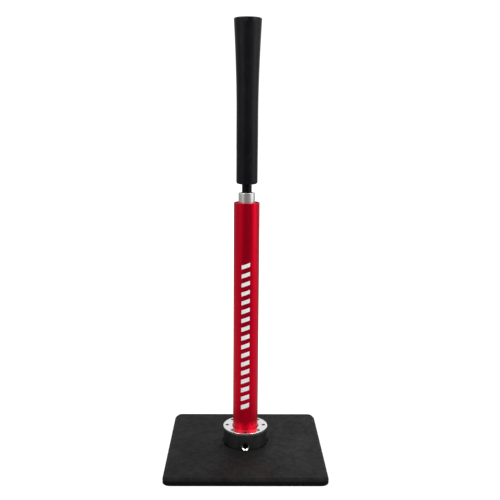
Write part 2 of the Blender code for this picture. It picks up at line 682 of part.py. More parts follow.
# ---------------------------------------------------------------- assembly
def main():
    for old in list(bpy.data.objects):
        bpy.data.objects.remove(old, do_unlink=True)

    slab = material("slab_rubber", (0.022, 0.022, 0.023), 0.75)
    sole = material("sole_rubber", (0.03, 0.03, 0.03), 0.9)
    weight = material("weight_steel", (0.05, 0.05, 0.05), 0.55, 1.0)
    black = material("black_anodised", (0.02, 0.021, 0.022), 0.4, 0.6)
    silver = material("silver_aluminium", (0.82, 0.83, 0.84), 0.28, 1.0)
    red = material("red_anodised", (0.42, 0.003, 0.012), 0.33, 0.85)
    screw = material("black_oxide_steel", (0.03, 0.03, 0.032), 0.4, 0.9)
    zinc = material("zinc_steel", (0.6, 0.6, 0.62), 0.35, 1.0)
    brass = material("tip_brass", (0.7, 0.5, 0.2), 0.35, 1.0)
    acetal = material("black_acetal", (0.012, 0.012, 0.013), 0.5)
    nylon = material("grey_nylon", (0.2, 0.2, 0.2), 0.55)
    seal = material("seal_rubber", (0.015, 0.015, 0.015), 0.7)
    cone = material("cone_rubber", (0.016, 0.016, 0.018), 0.5)

    post = group("post")
    middle = group("middle_stage", post)
    piston = group("shaft_piston_stage", middle)
    shaft = group("shaft_stage", piston)
    set_axis = group("set_screw_axis", post)
    set_axis.location = (0.0, 0.0, SET_HEIGHT)

    make_base_slab(slab, post)
    make_steel_plate(weight, post)
    make_sole_mat(sole)
    make_hub_bolts(screw, post)
    make_hub(black, post)
    make_clamp_ring(silver, post)
    make_ring_screws(screw, post)
    make_set_screw(screw, brass, set_axis)

    make_outer_tube(red, post)
    make_foot_plug(nylon, post)
    make_foot_bumper(seal, post)
    make_mouth_pieces(
        "outer", MIDDLE_RADIUS + SLIDE_GAP, OUTER_FIT, MIDDLE_RADIUS + 0.003,
        OUTER_BUSH_BOTTOM, OUTER_BUSH_TOP, OUTER_STOP_BOTTOM, (acetal, seal, nylon), post,
    )

    make_middle_tube(silver, middle)
    make_middle_piston(acetal, seal, zinc, middle)
    make_mouth_pieces(
        "middle", SHAFT_RADIUS + SLIDE_GAP, MIDDLE_FIT, SHAFT_RADIUS + 0.0009,
        MIDDLE_BUSH_BOTTOM, MIDDLE_BUSH_TOP, MIDDLE_STOP_BOTTOM, (acetal, seal, nylon), middle,
    )

    make_shaft_piston(acetal, seal, piston)
    make_inner_shaft(black, shaft)
    make_shaft_fixings(zinc, shaft)
    make_cone_adapter(acetal, shaft)
    make_ball_cone(cone, shaft)


main()
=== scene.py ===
"""Looks of the batting tee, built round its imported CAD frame.

Metres, +Z up, front at -Y. The outer pieces are remade here with finer facets and softer edges on the
same dimensions, each riding on the body of the CAD node that it replaces. The pieces inside keep their CAD
shape and get a finished material; three of them show down the cone's mouth. Bars of white ink on the red
tube are the one addition.
"""

import math

import bmesh
import bpy
from mathutils import Matrix, Vector


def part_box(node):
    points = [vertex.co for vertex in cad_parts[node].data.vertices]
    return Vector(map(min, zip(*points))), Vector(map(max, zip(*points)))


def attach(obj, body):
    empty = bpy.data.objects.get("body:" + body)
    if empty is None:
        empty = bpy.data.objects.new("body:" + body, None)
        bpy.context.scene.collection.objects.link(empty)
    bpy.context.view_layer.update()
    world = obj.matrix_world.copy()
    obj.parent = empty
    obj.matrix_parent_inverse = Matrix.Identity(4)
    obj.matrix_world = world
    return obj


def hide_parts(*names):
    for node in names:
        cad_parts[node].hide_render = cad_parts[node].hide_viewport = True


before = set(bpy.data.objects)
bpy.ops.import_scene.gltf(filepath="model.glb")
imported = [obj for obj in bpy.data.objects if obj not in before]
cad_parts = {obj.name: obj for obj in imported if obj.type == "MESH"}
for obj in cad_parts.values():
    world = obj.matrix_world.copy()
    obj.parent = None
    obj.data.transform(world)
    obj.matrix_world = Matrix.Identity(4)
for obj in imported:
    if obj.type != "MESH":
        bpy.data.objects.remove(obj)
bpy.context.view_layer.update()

# ---------------------------------------------------------------- dimensions
MM = 0.001

# Room round what sits in a cut, and how far a cutter runs past the face that it opens
GAP = 0.3 * MM
PAST = 1.0 * MM

TUBE_LOW, TUBE_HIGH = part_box("outer_tube")
POST = Vector(((TUBE_LOW.x + TUBE_HIGH.x) / 2, (TUBE_LOW.y + TUBE_HIGH.y) / 2, 0.0))


def turned_size(node):
    """Radius, bottom and top of a CAD piece that is turned about the post."""
    low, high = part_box(node)
    return (high.x - low.x) / 2, low.z, high.z


SLAB_LOW, SLAB_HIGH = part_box("base_slab")
SLAB_SIDE = SLAB_HIGH.x - SLAB_LOW.x
SLAB_TOP = SLAB_HIGH.z
SOLE_LOW, SOLE_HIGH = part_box("sole_mat")
SOLE_SIDE = SOLE_HIGH.x - SOLE_LOW.x
STEEL_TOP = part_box("steel_plate")[1].z
HUB_RADIUS, HUB_BOTTOM, HUB_TOP = turned_size("hub")
RING_RADIUS, RING_BOTTOM, RING_TOP = turned_size("clamp_ring")
TUBE_RADIUS = turned_size("outer_tube")[0]
MIDDLE_RADIUS = turned_size("middle_tube")[0]
SHAFT_RADIUS, SHAFT_BOTTOM, SHAFT_TOP = turned_size("inner_shaft")
CONE_BOTTOM, CONE_TOP = turned_size("ball_cone")[1:]

# What the boxes do not tell, as the CAD model has it
SLAB_CORNER = 12.5 * MM
SLAB_BEVEL = 4.5 * MM
WELL_RADIUS = 38.2 * MM
HUB_FLOOR = 4.0 * MM
HUB_BOLTS = 4
HUB_BOLT_CIRCLE = 28.8 * MM
HUB_BOLT_RADIUS = 3.0 * MM
HUB_BOLT_REACH = 17.5 * MM
HUB_BOLT_TURN = math.radians(22.5)
RING_SCREWS = 8
SCREW_CIRCLE = 30.4 * MM
SCREW_RADIUS = 1.5 * MM
SCREW_HEAD = 2.75 * MM
SCREW_LENGTH = 9.5 * MM
SCREW_SUNK = 0.35 * MM
HEAD_EDGE = 0.3 * MM
SCREW_SOCKET = 2.2 * MM
CROSS_HEIGHT = 17.3 * MM
CROSS_RADIUS = 5.0 * MM
CROSS_CHAMFER = 1.4 * MM
SET_SOCKET = 5.0 * MM
TUBE_WALL = 2.0 * MM
MIDDLE_WALL = 3.0 * MM
BUSH_SLACK = 0.35 * MM
SHAFT_TAP_RADIUS = 3.3 * MM
SHAFT_TAP_DEPTH = 16.0 * MM
CONE_STRAIGHT = 17.1 * MM
CONE_BORE = 12.4 * MM
CONE_WALL = 4.2 * MM
CONE_FOOT = 4.2 * MM
CONE_FLARE_START = 0.560
CONE_FLARE_POWER = 1.7
CONE_MOUTH_RADIUS = 21.8 * MM

# White graphic on the front of the red tube: slanted bars that thin out upwards
PRINT_LOW = 75.0 * MM
PRINT_HIGH = 322.0 * MM
PRINT_WIDTH = 13.5 * MM
PRINT_TURN = math.radians(-2.8)
PRINT_BARS = 17
PRINT_SLANT = 5.0 * MM
PRINT_THICKEST = 0.50
PRINT_THINNEST = 0.42
PRINT_LIFT = 0.01 * MM
PRINT_FILM = 0.04 * MM
PRINT_STEPS = 12

# Steps round a piece, by its size, and round each corner of a square
FINEST = 256
FINE = 128
MEDIUM = 80
DRILLED = 64
SUNK = 48
SMALL = 36
CORNER = 14

# Camera: place in metres, angles in degrees, lens in millimetres
CAMERA_AT = (-0.01072, -1.16087, 0.54854)
CAMERA_HEADING = 0.803
CAMERA_PITCH = 10.145
CAMERA_ROLL = 0.438
CAMERA_LENS = 53.036

# Surroundings: middle brightness, its least, what each direction adds, and the white that the camera sees
ROOM_LEVEL = 0.42
ROOM_LEAST = 0.16
ROOM_SLOPE = {"X": 0.08, "Y": 0.19, "Z": 0.42}
BACKDROP = 1.1

# Floor: half its side, the distances between which its glow grows to full white, and the strip in front of
# the tee where its paper darkens
FLOOR_HALF = 12.0
FLOOR_NEAR = 0.22
FLOOR_FAR = 0.62
FLOOR_GLOW = 0.70
FLOOR_FRONT = (-0.60, -0.17)

# Softboxes: place, aim, width, height, watts
SOFTBOXES = {
    "left_softbox": ((-1.05, -0.68, 0.68), (0.0, 0.0, 0.40), 0.70, 1.3, 1.5),
    "right_softbox": ((1.15, -0.28, 0.68), (0.0, 0.0, 0.40), 0.85, 1.3, 4.2),
    "back_softbox": ((0.50, 1.20, 0.70), (0.0, 0.0, 0.40), 0.60, 1.3, 1.6),
    "left_key_softbox": ((-1.15, -0.85, 1.55), (0.0, 0.0, 0.25), 0.9, 0.9, 17.0),
    "right_key_softbox": ((1.15, -0.85, 1.55), (0.0, 0.0, 0.25), 0.9, 0.9, 17.0),
}


# ---------------------------------------------------------------- mesh tools
def face_out(bm):
    """Make the faces of one closed body agree and point out."""
    bmesh.ops.recalc_face_normals(bm, faces=bm.faces)
    if bm.calc_volume(signed=True) < 0.0:
        bmesh.ops.reverse_faces(bm, faces=bm.faces)


def shade(mesh):
    """Smooth everywhere but across edges that turn more than a fillet's step."""
    mesh.shade_smooth()
    mesh.set_sharp_from_angle(angle=math.radians(35.0))


def to_mesh(bm, name):
    bmesh.ops.remove_doubles(bm, verts=bm.verts, dist=1e-7)
    face_out(bm)
    mesh = bpy.data.meshes.new(name)
    bm.to_mesh(mesh)
    bm.free()
    shade(mesh)
    return mesh


def link(name, mesh, look, at=POST, turn=(0.0, 0.0, 0.0)):
    """Put one piece in the scene, with a material if its mesh has none."""
    piece = bpy.data.objects.new(name, mesh)
    bpy.context.scene.collection.objects.link(piece)
    if look is not None and not mesh.materials:
        mesh.materials.append(look)
    piece.location = at
    piece.rotation_euler = turn
    return piece


def even_normals(piece):
    """Weight the shading by face area, so that flat faces shade flat beside their fillets."""
    modifier = piece.modifiers.new("even_normals", "WEIGHTED_NORMAL")
    modifier.keep_sharp = True
    modifier.weight = 100


def stand_for(piece, body, node):
    """Ride on a body in place of one CAD node."""
    even_normals(piece)
    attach(piece, body)
    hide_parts(node)


def softened(corners, steps=4):
    """Round the corners of an outline. Each corner is (radius, height, fillet)."""
    points = []
    for i, (across, up, fillet) in enumerate(corners):
        here = Vector((across, up))
        if fillet == 0.0:
            points.append((across, up))
            continue
        before = (Vector(corners[i - 1][:2]) - here).normalized()
        after = (Vector(corners[(i + 1) % len(corners)][:2]) - here).normalized()
        half = before.angle(after) / 2
        centre = here + (before + after).normalized() * fillet / math.sin(half)
        start = here + before * fillet / math.tan(half) - centre
        end = here + after * fillet / math.tan(half) - centre
        for step in range(steps + 1):
            spoke = start.lerp(end, step / steps).normalized() * fillet
            points.append(tuple(centre + spoke))
    return points


def arc(centre, radius, start, end, steps):
    """Points of an arc about a (radius, height) centre, angles in degrees, 0 pointing outwards."""
    points = []
    for i in range(steps + 1):
        angle = math.radians(start + (end - start) * i / steps)
        points.append((centre[0] + radius * math.cos(angle), centre[1] + radius * math.sin(angle)))
    return points


def tube_corners(bore, radius, low, high, fillet):
    return [(bore, low, fillet), (radius, low, fillet), (radius, high, fillet), (bore, high, fillet)]


def spin_outline(bm, outline, steps, matrix=None):
    """Turn (radius, height) points about Z. An outline that starts and ends on the axis makes a plug."""
    verts = [bm.verts.new((radius, 0.0, height)) for radius, height in outline]
    edges = [bm.edges.new(pair) for pair in zip(verts, verts[1:])]
    if outline[0][0] > 0.0:
        edges.append(bm.edges.new((verts[-1], verts[0])))
    bmesh.ops.spin(
        bm, geom=verts + edges, cent=(0, 0, 0), axis=(0, 0, 1), angle=math.tau, steps=steps, use_merge=True
    )
    bmesh.ops.remove_doubles(bm, verts=bm.verts, dist=1e-7)
    if matrix is not None:
        bm.transform(matrix)


def turned(name, outline, look, steps=FINE):
    """One piece turned about the post's axis."""
    bm = bmesh.new()
    spin_outline(bm, outline, steps)
    return link(name, to_mesh(bm, name), look)


def stacked(bm, loops):
    """Skin a pile of loops that have the same number of points, and close both ends."""
    rows = [[bm.verts.new(point) for point in loop] for loop in loops]
    count = len(rows[0])
    for below, above in zip(rows, rows[1:]):
        for i in range(count):
            j = (i + 1) % count
            bm.faces.new((below[i], below[j], above[j], above[i]))
    bm.faces.new(rows[0])
    bm.faces.new(rows[-1])


def circle(radius, height):
    turns = [math.tau * i / SMALL for i in range(SMALL)]
    return [(radius * math.cos(turn), radius * math.sin(turn), height) for turn in turns]


def hexagon(across_flats, height):
    """A hexagon walked in as many points as a circle, with corners among them."""
    points = []
    for i in range(SMALL):
        angle = math.tau * i / SMALL
        off_flat = angle % (math.pi / 3) - math.pi / 6
        reach = across_flats / 2 / math.cos(off_flat)
        points.append((reach * math.cos(angle), reach * math.sin(angle), height))
    return points


def rounded_square(side, corner, height):
    """A square loop with round corners, about the origin."""
    points = []
    inner = side / 2 - corner
    for quarter, (sx, sy) in enumerate(((1, 1), (-1, 1), (-1, -1), (1, -1))):
        for step in range(CORNER + 1):
            angle = math.radians(90 * quarter + 90 * step / CORNER)
            x = sx * inner + corner * math.cos(angle)
            y = sy * inner + corner * math.sin(angle)
            points.append((x, y, height))
    return points


def round_the_post(count, radius, height, first=0.0):
    """Matrices at equal angles on a circle about the post, each turned to face out."""
    return [
        Matrix.Rotation(math.tau * i / count + first, 4, "Z") @ Matrix.Translation((radius, 0.0, height))
        for i in range(count)
    ]


def drills(outline, places, look=None, steps=SMALL):
    """A cutter that holds the same turned drill at each matrix. Its material goes to the faces it cuts."""
    whole = bmesh.new()
    scrap = bpy.data.meshes.new("one_drill")
    for matrix in places:
        one = bmesh.new()
        spin_outline(one, outline, steps, matrix)
        face_out(one)
        one.to_mesh(scrap)
        one.free()
        whole.from_mesh(scrap)
    bpy.data.meshes.remove(scrap)
    mesh = bpy.data.meshes.new("drills")
    whole.to_mesh(mesh)
    whole.free()
    return link("cutter", mesh, look)


def cut(piece, cutter, operation="DIFFERENCE"):
    """Cut at once, so that no cutter stays in the scene."""
    modifier = piece.modifiers.new("cut", "BOOLEAN")
    modifier.operation = operation
    modifier.object = cutter
    modifier.material_mode = "TRANSFER"
    graph = bpy.context.evaluated_depsgraph_get()
    whole = piece.data
    piece.data = bpy.data.meshes.new_from_object(piece.evaluated_get(graph), depsgraph=graph)
    piece.modifiers.clear()
    bpy.data.meshes.remove(whole)
    shade(piece.data)
    bpy.data.objects.remove(cutter, do_unlink=True)


def countersink(radius, head, sunk, depth):
    """Drill for a countersunk screw whose top lies sunk below the face, which is at height 0."""
    hole = radius + GAP
    mouth = head + GAP
    seat = -sunk - HEAD_EDGE
    return [
        (0.0, -depth - PAST), (hole, -depth - PAST), (hole, seat - (mouth - hole)),
        (mouth, seat), (mouth, PAST), (0.0, PAST),
    ]


# ---------------------------------------------------------------- material tools
class Look:
    """One Principled material, with short calls for the nodes that give it detail."""

    def __init__(self, name, colour, roughness, metallic=0.0):
        self.material = bpy.data.materials.new(name)
        self.material.use_nodes = True
        self.nodes = self.material.node_tree.nodes
        self.links = self.material.node_tree.links
        self.shader = self.nodes["Principled BSDF"]
        self.set("Base Color", (*colour, 1.0))
        self.set("Roughness", roughness)
        self.set("Metallic", metallic)
        self.place = self.nodes.new("ShaderNodeTexCoord").outputs["Object"]
        self.height = None

    def set(self, socket, value):
        self.shader.inputs[socket].default_value = value

    def join(self, output, target):
        self.links.new(output, target)

    def stretched(self, scale):
        """Object coordinates, scaled by axis."""
        node = self.nodes.new("ShaderNodeMapping")
        node.inputs["Scale"].default_value = scale
        self.join(self.place, node.inputs["Vector"])
        return node.outputs["Vector"]

    def noise(self, scale, detail=3.0, rough=0.5, at=None):
        node = self.nodes.new("ShaderNodeTexNoise")
        node.inputs["Scale"].default_value = scale
        node.inputs["Detail"].default_value = detail
        node.inputs["Roughness"].default_value = rough
        self.join(at if at is not None else self.place, node.inputs["Vector"])
        return node.outputs["Fac"]

    def cells(self, scale):
        node = self.nodes.new("ShaderNodeTexVoronoi")
        node.inputs["Scale"].default_value = scale
        self.join(self.place, node.inputs["Vector"])
        return node.outputs["Distance"]

    def span(self, value, low, high, to_low=0.0, to_high=1.0, smooth=False):
        """Map a value's range on to another, held at both ends."""
        node = self.nodes.new("ShaderNodeMapRange")
        node.interpolation_type = "SMOOTHSTEP" if smooth else "LINEAR"
        for socket, number in zip(("From Min", "From Max", "To Min", "To Max"), (low, high, to_low, to_high)):
            node.inputs[socket].default_value = number
        self.join(value, node.inputs["Value"])
        return node.outputs["Result"]

    def sums(self, operation, first, second):
        """A Math node on two values, each a socket or a number."""
        node = self.nodes.new("ShaderNodeMath")
        node.operation = operation
        for socket, value in zip(node.inputs, (first, second)):
            if isinstance(value, (int, float)):
                socket.default_value = value
            else:
                self.join(value, socket)
        return node.outputs["Value"]

    def axis(self, letter):
        node = self.nodes.new("ShaderNodeSeparateXYZ")
        self.join(self.place, node.inputs["Vector"])
        return node.outputs[letter]

    def tint(self, mask, first, second):
        """A colour that runs from first to second with the mask. Each is a colour or a socket."""
        node = self.nodes.new("ShaderNodeMix")
        node.data_type = "RGBA"
        self.join(mask, node.inputs["Factor"])
        for socket, colour in zip((node.inputs[6], node.inputs[7]), (first, second)):
            if isinstance(colour, tuple):
                socket.default_value = (*colour, 1.0)
            else:
                self.join(colour, socket)
        return node.outputs[2]

    def colour(self, output):
        self.join(output, self.shader.inputs["Base Color"])

    def roughness(self, output):
        self.join(output, self.shader.inputs["Roughness"])

    def bump(self, value, depth, strength=1.0):
        """Add relief of a real depth in metres on top of what is there."""
        node = self.nodes.new("ShaderNodeBump")
        node.inputs["Distance"].default_value = depth
        node.inputs["Strength"].default_value = strength
        self.join(value, node.inputs["Height"])
        if self.height is not None:
            self.join(self.height, node.inputs["Normal"])
        self.height = node.outputs["Normal"]
        self.join(self.height, self.shader.inputs["Normal"])


def slab_rubber():
    """Moulded rubber: a fine pebble, faint flow mottling, dull dusty specks on the top, and painted shade on
    the sides and bevel.
    """
    look = Look("slab_rubber", (0.010, 0.010, 0.0105), 0.62)
    look.set("Specular IOR Level", 0.15)
    blotch = look.sums("MULTIPLY", look.noise(130.0, 4.0, 0.7), 0.55)
    mottle = look.sums("ADD", look.sums("MULTIPLY", look.noise(17.0, 6.0, 0.62), 0.45), blotch)
    grain = look.noise(900.0, 2.0, 0.6)
    pebble = look.cells(620.0)
    dust = look.span(look.noise(340.0, 6.0, 0.75), 0.60, 0.74)
    base = look.tint(look.span(mottle, 0.36, 0.64), (0.0006, 0.0006, 0.0007), (0.0070, 0.0068, 0.0066))
    # Mask that is 1 on the top face and 0 down the bevel and sides; below the top, the colour is near black
    # as painted shade, not a different rubber
    top_over_side_shade = look.span(look.axis("Z"), SLAB_TOP - 1.5 * SLAB_BEVEL, SLAB_TOP - 0.2 * SLAB_BEVEL, smooth=True)
    # Painted shade: sides and bevel darkened to near black
    base = look.tint(top_over_side_shade, (0.0005, 0.0005, 0.0005), base)
    settled = look.sums("MULTIPLY", look.sums("MULTIPLY", dust, 0.35), top_over_side_shade)
    look.colour(look.tint(settled, base, (0.040, 0.038, 0.036)))
    sides = look.span(top_over_side_shade, 0.0, 1.0, 0.22, 0.0)
    satin = look.sums("ADD", look.span(mottle, 0.36, 0.64, 0.72, 0.54), sides)
    look.roughness(look.sums("ADD", satin, look.span(grain, 0.3, 0.7, -0.06, 0.08)))
    look.bump(mottle, 0.12 * MM, 0.6)
    look.bump(pebble, 0.10 * MM, 0.8)
    look.bump(grain, 0.05 * MM, 0.7)
    return look.material


def cone_rubber():
    """Satin moulded rubber, slightly uneven, scuffed at the rim where the ball sits."""
    look = Look("cone_rubber", (0.002, 0.002, 0.0025), 0.40)
    look.set("Specular IOR Level", 0.19)
    look.set("Specular Tint", (0.90, 0.88, 1.0, 1.0))
    flow = look.noise(38.0, 3.0, 0.5, look.stretched((1.0, 1.0, 0.22)))
    peel = look.noise(1300.0, 2.0, 0.55)
    scuff = look.noise(150.0, 7.0, 0.72, look.stretched((1.0, 1.0, 0.35)))
    rim = look.span(look.axis("Z"), CONE_TOP - 9 * MM, CONE_TOP + 1 * MM, smooth=True)
    where = look.sums("ADD", look.sums("MULTIPLY", rim, 0.55), 0.04)
    marks = look.sums("MULTIPLY", look.span(scuff, 0.50, 0.66), where)
    base = look.tint(look.span(flow, 0.35, 0.65), (0.0012, 0.0012, 0.0018), (0.0026, 0.0025, 0.0028))
    look.colour(look.tint(marks, base, (0.10, 0.095, 0.09)))
    dull = look.span(peel, 0.3, 0.7, 0.33, 0.45)
    look.roughness(look.sums("ADD", dull, look.sums("MULTIPLY", marks, 0.35)))
    look.bump(flow, 0.25 * MM, 0.5)
    look.bump(peel, 0.03 * MM, 0.7)
    return look.material


def red_anodised():
    """Drawn aluminium tube, dyed red: fine lines along its length, a satin grain and a few rubbed streaks."""
    look = Look("red_anodised", (0.72, 0.002, 0.022), 0.34, 0.96)
    drawn = look.noise(900.0, 3.0, 0.6, look.stretched((1.0, 1.0, 0.012)))
    grain = look.noise(2600.0, 2.0, 0.6)
    cloud = look.noise(19.0, 4.0, 0.55)
    rub = look.span(look.noise(70.0, 5.0, 0.7, look.stretched((1.0, 1.0, 3.2))), 0.57, 0.72)
    base = look.tint(look.span(cloud, 0.3, 0.7), (0.68, 0.0012, 0.020), (0.76, 0.0022, 0.026))
    base = look.tint(look.sums("MULTIPLY", look.span(grain, 0.35, 0.7), 0.20), base, (0.52, 0.001, 0.012))
    look.colour(base)
    satin = look.span(drawn, 0.3, 0.7, 0.34, 0.44)
    look.roughness(look.sums("ADD", satin, look.sums("MULTIPLY", rub, 0.07)))
    look.bump(drawn, 0.004 * MM, 0.5)
    look.bump(grain, 0.002 * MM, 0.6)
    return look.material


def turned_silver(name="silver_aluminium", colour=(0.80, 0.80, 0.79), rough=(0.30, 0.42)):
    """Bare aluminium off the lathe: fine rings about the axis, faint stains and handling marks."""
    look = Look(name, colour, sum(rough) / 2, 1.0)
    look.set("Anisotropic", 0.20)
    tangent = look.nodes.new("ShaderNodeTangent")
    tangent.direction_type = "RADIAL"
    tangent.axis = "Z"
    look.join(tangent.outputs["Tangent"], look.shader.inputs["Tangent"])
    rings = look.noise(1500.0, 4.0, 0.7, look.stretched((0.02, 0.02, 1.0)))
    coarse = look.noise(420.0, 2.0, 0.5, look.stretched((0.01, 0.01, 1.0)))
    stain = look.noise(60.0, 5.0, 0.65)
    dim = tuple(0.82 * channel for channel in colour)
    look.colour(look.tint(look.span(stain, 0.40, 0.72), colour, dim))
    look.roughness(look.span(rings, 0.3, 0.7, *rough))
    look.bump(coarse, 0.008 * MM, 0.5)
    look.bump(rings, 0.004 * MM, 0.6)
    return look.material


def faced_silver():
    """The ring's turned face: fine circles about the post, cut by the tool's feed."""
    look = Look("ring_aluminium", (0.86, 0.86, 0.86), 0.24, 1.0)
    across = look.axis("X")
    along = look.axis("Y")
    squares = look.sums("ADD", look.sums("POWER", across, 2.0), look.sums("POWER", along, 2.0))
    reach = look.sums("SQRT", squares, 0.0)
    feed = look.sums("SINE", look.sums("MULTIPLY", reach, math.tau / (0.35 * MM)), 0.0)
    grain = look.noise(700.0, 4.0, 0.7)
    look.colour(look.tint(look.span(grain, 0.45, 0.75), (0.95, 0.95, 0.95), (0.80, 0.81, 0.82)))
    look.roughness(look.span(grain, 0.3, 0.7, 0.17, 0.32))
    look.bump(feed, 0.003 * MM, 0.5)
    look.bump(grain, 0.006 * MM, 0.5)
    return look.material


def black_anodised(name="black_anodised", painted_shade_scale=1.0):
    """Black anodised aluminium: a satin skin over turning lines. Its colour can be scaled down as painted
    shade.
    """
    look = Look(name, (0.08, 0.08, 0.083), 0.36, 1.0)
    look.set("Specular IOR Level", 0.3)
    rings = look.noise(1100.0, 4.0, 0.65, look.stretched((0.02, 0.02, 1.0)))
    grain = look.noise(1800.0, 2.0, 0.6)
    bloom = look.noise(45.0, 4.0, 0.6)
    # The scale darkens the whole colour; below 1 it is painted shade, not a darker anodising
    dark = tuple(painted_shade_scale * channel for channel in (0.090, 0.090, 0.094))
    light = tuple(painted_shade_scale * channel for channel in (0.150, 0.149, 0.147))
    look.colour(look.tint(look.span(bloom, 0.35, 0.7), dark, light))
    look.roughness(look.span(grain, 0.3, 0.7, 0.30, 0.42))
    look.bump(rings, 0.006 * MM, 0.6)
    look.bump(grain, 0.003 * MM, 0.5)
    return look.material


def screw_black():
    """Black oxide steel, rubbed brighter in places."""
    look = Look("black_oxide_steel", (0.035, 0.035, 0.038), 0.34, 1.0)
    wear = look.noise(900.0, 5.0, 0.7)
    look.colour(look.tint(look.span(wear, 0.55, 0.75), (0.03, 0.03, 0.033), (0.16, 0.155, 0.15)))
    look.roughness(look.span(wear, 0.3, 0.7, 0.28, 0.48))
    look.bump(wear, 0.004 * MM, 0.6)
    return look.material


def bright_steel():
    """Zinc plated steel with a faint crystalline bloom."""
    look = Look("zinc_steel", (0.62, 0.63, 0.66), 0.3, 1.0)
    bloom = look.noise(260.0, 5.0, 0.7)
    look.colour(look.tint(look.span(bloom, 0.35, 0.7), (0.66, 0.67, 0.70), (0.50, 0.51, 0.53)))
    look.roughness(look.span(bloom, 0.3, 0.7, 0.22, 0.42))
    look.bump(bloom, 0.004 * MM, 0.5)
    return look.material


def plastic(name, colour, rough, gloss=0.5):
    """Machined or moulded plastic: fine tool lines and a dull grain."""
    look = Look(name, colour, rough)
    look.set("Specular IOR Level", gloss)
    grain = look.noise(1500.0, 3.0, 0.6)
    tool = look.noise(1200.0, 3.0, 0.6, look.stretched((0.02, 0.02, 1.0)))
    lighter = tuple(min(1.0, 1.5 * channel) for channel in colour)
    look.colour(look.tint(look.span(grain, 0.4, 0.75), colour, lighter))
    look.roughness(look.span(grain, 0.3, 0.7, rough - 0.07, rough + 0.09))
    look.bump(tool, 0.008 * MM, 0.6)
    look.bump(grain, 0.006 * MM, 0.5)
    return look.material


def seal_rubber():
    """Smooth black seal rubber with a trace of bloom."""
    look = Look("seal_rubber", (0.012, 0.012, 0.012), 0.6)
    bloom = look.noise(300.0, 4.0, 0.6)
    look.colour(look.tint(look.span(bloom, 0.45, 0.75), (0.010, 0.010, 0.010), (0.028, 0.028, 0.028)))
    look.roughness(look.span(bloom, 0.3, 0.7, 0.5, 0.68))
    look.bump(bloom, 0.01 * MM, 0.5)
    return look.material


def sole_rubber():
    """Dull sheet rubber with a calendered grain."""
    look = Look("sole_rubber", (0.02, 0.02, 0.02), 0.85)
    look.set("Specular IOR Level", 0.3)
    grain = look.noise(1100.0, 3.0, 0.65)
    cloud = look.noise(30.0, 4.0, 0.6)
    look.colour(look.tint(look.span(cloud, 0.35, 0.65), (0.017, 0.017, 0.017), (0.030, 0.029, 0.028)))
    look.roughness(look.span(grain, 0.3, 0.7, 0.75, 0.93))
    look.bump(grain, 0.08 * MM, 0.7)
    return look.material


def weight_steel():
    """Black painted plate with a hammered sag in the paint."""
    look = Look("weight_steel", (0.018, 0.018, 0.018), 0.5, 0.2)
    sag = look.noise(120.0, 4.0, 0.6)
    look.colour(look.tint(look.span(sag, 0.4, 0.7), (0.014, 0.014, 0.014), (0.026, 0.026, 0.026)))
    look.roughness(look.span(sag, 0.3, 0.7, 0.42, 0.62))
    look.bump(sag, 0.05 * MM, 0.6)
    return look.material


def brass():
    look = Look("tip_brass", (0.72, 0.50, 0.20), 0.3, 1.0)
    tarnish = look.noise(500.0, 4.0, 0.65)
    look.colour(look.tint(look.span(tarnish, 0.4, 0.7), (0.76, 0.54, 0.23), (0.50, 0.33, 0.12)))
    look.roughness(look.span(tarnish, 0.3, 0.7, 0.22, 0.42))
    look.bump(tarnish, 0.005 * MM, 0.5)
    return look.material


def white_ink():
    """Screen-printed white ink, a little uneven and rubbed through in specks."""
    look = Look("white_print", (0.90, 0.90, 0.89), 0.45)
    cloud = look.noise(120.0, 4.0, 0.6)
    specks = look.span(look.noise(1500.0, 4.0, 0.7), 0.66, 0.74)
    base = look.tint(look.span(cloud, 0.35, 0.7), (0.92, 0.92, 0.915), (0.84, 0.835, 0.83))
    look.colour(look.tint(look.sums("MULTIPLY", specks, 0.5), base, (0.70, 0.20, 0.22)))
    look.roughness(look.span(cloud, 0.3, 0.7, 0.38, 0.52))
    look.bump(cloud, 0.004 * MM, 0.5)
    return look.material


# ---------------------------------------------------------------- base
def make_slab(look):
    """Moulded slab: rounded bevel round the top, a pocket underneath and a round well for the hub."""
    foot = 0.8 * MM
    corners = [
        (foot, 0.0, 0.0), (0.0, foot, 0.0), (0.0, SLAB_TOP - SLAB_BEVEL, 0.9 * MM),
        (SLAB_BEVEL, SLAB_TOP, 1.6 * MM), (2.0 * SLAB_BEVEL, SLAB_TOP, 0.0),
    ]
    levels = softened(corners, 6)
    bm = bmesh.new()
    loops = [rounded_square(SLAB_SIDE - 2 * inset, max(SLAB_CORNER - inset, MM), z) for inset, z in levels]
    stacked(bm, loops)
    slab = link("base_slab_moulded", to_mesh(bm, "base_slab_moulded"), look, (0.0, 0.0, 0.0))

    pocket_corner = SLAB_CORNER / 2
    bm = bmesh.new()
    stacked(bm, [rounded_square(SOLE_SIDE + 2 * GAP, pocket_corner, z) for z in (-PAST, STEEL_TOP + GAP)])
    cut(slab, link("cutter", to_mesh(bm, "pocket"), None, (0.0, 0.0, 0.0)))

    lip = 0.7 * MM
    mouth = arc((WELL_RADIUS + lip, SLAB_TOP - lip), lip, 180, 90, 5)
    well = [(0.0, -PAST), (WELL_RADIUS, -PAST)] + mouth
    well += [(WELL_RADIUS + lip, SLAB_TOP + PAST), (0.0, SLAB_TOP + PAST)]
    cut(slab, drills(well, [Matrix.Identity(4)], None, FINE))
    stand_for(slab, "base", "base_slab")


